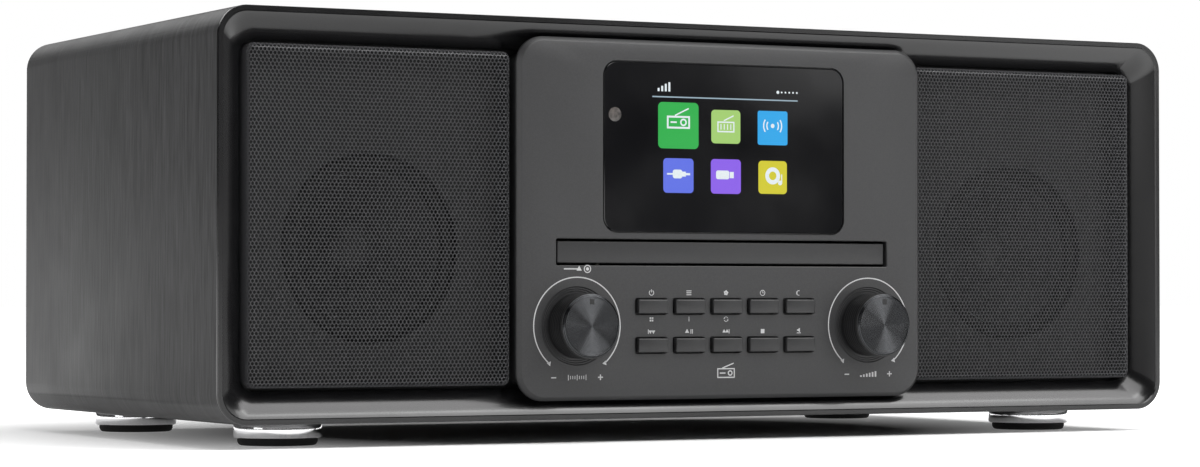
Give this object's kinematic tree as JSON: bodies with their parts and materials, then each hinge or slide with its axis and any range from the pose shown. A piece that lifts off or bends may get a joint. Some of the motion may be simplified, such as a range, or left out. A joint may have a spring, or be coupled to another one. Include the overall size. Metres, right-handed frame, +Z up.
{
  "type": "tabletop radio",
  "caption": "Wide black tabletop radio with wrapped cabinet, perforated grilles, colour display, disc drawer, push buttons, rotary knobs, chrome feet and a telescopic antenna.",
  "frame": {"origin": "on the surface it stands on, under the middle of the whole object", "axes": "+X to the right seen from the front, +Y to the back, +Z up"},
  "size_m": [0.4, 0.2292, 0.1535],
  "materials": {
    "wrapped_board": "black wood-grain foil wrapped over board",
    "gloss_black_abs": "gloss black moulded",
    "perforated_steel": "black powder-coated perforated sheet",
    "satin_grey_abs": "satin dark grey moulded",
    "display_glass": "gloss display",
    "ir_window": "smoked infrared window",
    "black_abs": "black moulded",
    "steel": "zinc-plated steel",
    "chrome": "polished chrome plate",
    "foot_rubber": "black rubber",
    "circuit_board": "green glass-epoxy board",
    "acetal": "natural acetal",
    "knob_abs": "satin black moulded",
    "spun_aluminium": "dark spun and anodised",
    "button_abs": "satin dark grey moulded",
    "cone_paper": "coated paper",
    "surround_rubber": "moulded rubber"
  },
  "bodies": {
    "cabinet": {"cabinet_shell": "wrapped_board", "front_bezel": "gloss_black_abs", "display_lens": "gloss_black_abs", "grille_left": "perforated_steel", "grille_right": "perforated_steel", "fascia_panel": "satin_grey_abs", "lcd_module": "display_glass", "ir_receiver": "ir_window", "rear_panel": "black_abs", "cd_chassis": "black_abs", "rear_sockets": "black_abs", "tact_switches": "black_abs", "speaker_left_basket": "black_abs", "speaker_right_basket": "black_abs", "rear_panel_screws": "steel", "foot_screws": "steel", "speaker_screws": "steel", "loading_motor": "steel", "spindle_motor": "steel", "traverse_deck": "steel", "speaker_left_magnet": "steel", "speaker_right_magnet": "steel", "tune_encoder": "steel", "volume_encoder": "steel", "feet": "chrome", "foot_pads": "foot_rubber", "control_board": "circuit_board", "main_board": "circuit_board", "speaker_left_surround": "surround_rubber", "speaker_right_surround": "surround_rubber"},
    "tune_plunger": {"tune_push_plunger": "acetal"},
    "tune_dial": {"tune_shaft": "steel", "tune_knob": "knob_abs", "tune_knob_cap": "spun_aluminium"},
    "volume_dial": {"volume_shaft": "steel", "volume_knob": "knob_abs", "volume_knob_cap": "spun_aluminium"},
    "left_cone": {"speaker_left_cone": "cone_paper"},
    "right_cone": {"speaker_right_cone": "cone_paper"},
    "drawer": {"cd_tray": "black_abs", "cd_tray_front": "satin_grey_abs"},
    "pinion": {"tray_pinion": "acetal"},
    "drive_gear": {"motor_gear": "acetal"},
    "disc_table": {"turntable": "black_abs"},
    "pickup": {"optical_pickup": "black_abs"},
    "antenna_swivel": {"antenna_base": "black_abs"},
    "antenna_arm": {"antenna_elbow": "chrome", "antenna_tube_1": "chrome"},
    "antenna_middle": {"antenna_tube_2": "chrome"},
    "antenna_tip": {"antenna_tip_rod": "chrome"},
    "power_key": {"power_button": "button_abs"},
    "menu_key": {"menu_button": "button_abs"},
    "preset_key": {"preset_button": "button_abs"},
    "alarm_key": {"alarm_button": "button_abs"},
    "sleep_key": {"sleep_button": "button_abs"},
    "previous_key": {"previous_button": "button_abs"},
    "play_key": {"play_button": "button_abs"},
    "next_key": {"next_button": "button_abs"},
    "stop_key": {"stop_button": "button_abs"},
    "eject_key": {"eject_button": "button_abs"}
  },
  "joints": [
    {"name": "tune_push", "type": "slide", "parent": "cabinet", "child": "tune_plunger", "axis": [0, 1, 0], "range_m": [0, 0.0006], "stiffness_N_per_m": 900},
    {"name": "tune_turn", "type": "hinge", "parent": "tune_plunger", "child": "tune_dial", "pos_m": [-0.062, -0.10138, 0.0423], "axis": [0, 1, 0], "continuous": true},
    {"name": "volume_turn", "type": "hinge", "parent": "cabinet", "child": "volume_dial", "pos_m": [0.062, -0.10138, 0.0423], "axis": [0, 1, 0], "continuous": true},
    {"name": "left_cone_travel", "type": "slide", "parent": "cabinet", "child": "left_cone", "axis": [0, 1, 0], "range_m": [-0.0015, 0.0015], "stiffness_N_per_m": 1500},
    {"name": "right_cone_travel", "type": "slide", "parent": "cabinet", "child": "right_cone", "axis": [0, 1, 0], "range_m": [-0.0015, 0.0015], "stiffness_N_per_m": 1500},
    {"name": "drawer_slide", "type": "slide", "parent": "cabinet", "child": "drawer", "axis": [0, -1, 0], "range_m": [0, 0.13]},
    {"name": "pinion_turn", "type": "hinge", "parent": "cabinet", "child": "pinion", "pos_m": [-0.052, -0.07437, 0.067], "axis": [0, 0, 1], "range_deg": [0, 935]},
    {"name": "drive_gear_turn", "type": "hinge", "parent": "cabinet", "child": "drive_gear", "pos_m": [-0.039, -0.07437, 0.067], "axis": [0, 0, 1], "range_deg": [-1495, 0]},
    {"name": "disc_spin", "type": "hinge", "parent": "cabinet", "child": "disc_table", "pos_m": [0, -0.03537, 0.06], "axis": [0, 0, 1], "continuous": true},
    {"name": "pickup_travel", "type": "slide", "parent": "cabinet", "child": "pickup", "axis": [0, 1, 0], "range_m": [0, 0.034]},
    {"name": "antenna_turn", "type": "hinge", "parent": "cabinet", "child": "antenna_swivel", "pos_m": [0.165, 0.10262, 0.128], "axis": [0, 1, 0], "range_deg": [0, 180]},
    {"name": "antenna_tilt", "type": "hinge", "parent": "antenna_swivel", "child": "antenna_arm", "pos_m": [0.165, 0.11063, 0.128], "axis": [0, 0, -1], "range_deg": [0, 90]},
    {"name": "antenna_middle_draw", "type": "slide", "parent": "antenna_arm", "child": "antenna_middle", "axis": [-1, 0, 0], "range_m": [0, 0.18]},
    {"name": "antenna_tip_draw", "type": "slide", "parent": "antenna_middle", "child": "antenna_tip", "axis": [-1, 0, 0], "range_m": [0, 0.18]},
    {"name": "power_press", "type": "slide", "parent": "cabinet", "child": "power_key", "axis": [0, 1, 0], "range_m": [0, 0.0008], "stiffness_N_per_m": 400},
    {"name": "menu_press", "type": "slide", "parent": "cabinet", "child": "menu_key", "axis": [0, 1, 0], "range_m": [0, 0.0008], "stiffness_N_per_m": 400},
    {"name": "preset_press", "type": "slide", "parent": "cabinet", "child": "preset_key", "axis": [0, 1, 0], "range_m": [0, 0.0008], "stiffness_N_per_m": 400},
    {"name": "alarm_press", "type": "slide", "parent": "cabinet", "child": "alarm_key", "axis": [0, 1, 0], "range_m": [0, 0.0008], "stiffness_N_per_m": 400},
    {"name": "sleep_press", "type": "slide", "parent": "cabinet", "child": "sleep_key", "axis": [0, 1, 0], "range_m": [0, 0.0008], "stiffness_N_per_m": 400},
    {"name": "previous_press", "type": "slide", "parent": "cabinet", "child": "previous_key", "axis": [0, 1, 0], "range_m": [0, 0.0008], "stiffness_N_per_m": 400},
    {"name": "play_press", "type": "slide", "parent": "cabinet", "child": "play_key", "axis": [0, 1, 0], "range_m": [0, 0.0008], "stiffness_N_per_m": 400},
    {"name": "next_press", "type": "slide", "parent": "cabinet", "child": "next_key", "axis": [0, 1, 0], "range_m": [0, 0.0008], "stiffness_N_per_m": 400},
    {"name": "stop_press", "type": "slide", "parent": "cabinet", "child": "stop_key", "axis": [0, 1, 0], "range_m": [0, 0.0008], "stiffness_N_per_m": 400},
    {"name": "eject_press", "type": "slide", "parent": "cabinet", "child": "eject_key", "axis": [0, 1, 0], "range_m": [0, 0.0008], "stiffness_N_per_m": 400}
  ],
  "couplings": [
    {"joint": "pinion_turn", "follows": "drawer_slide", "rad_per_m": 125},
    {"joint": "drive_gear_turn", "follows": "drawer_slide", "rad_per_m": -200}
  ]
}
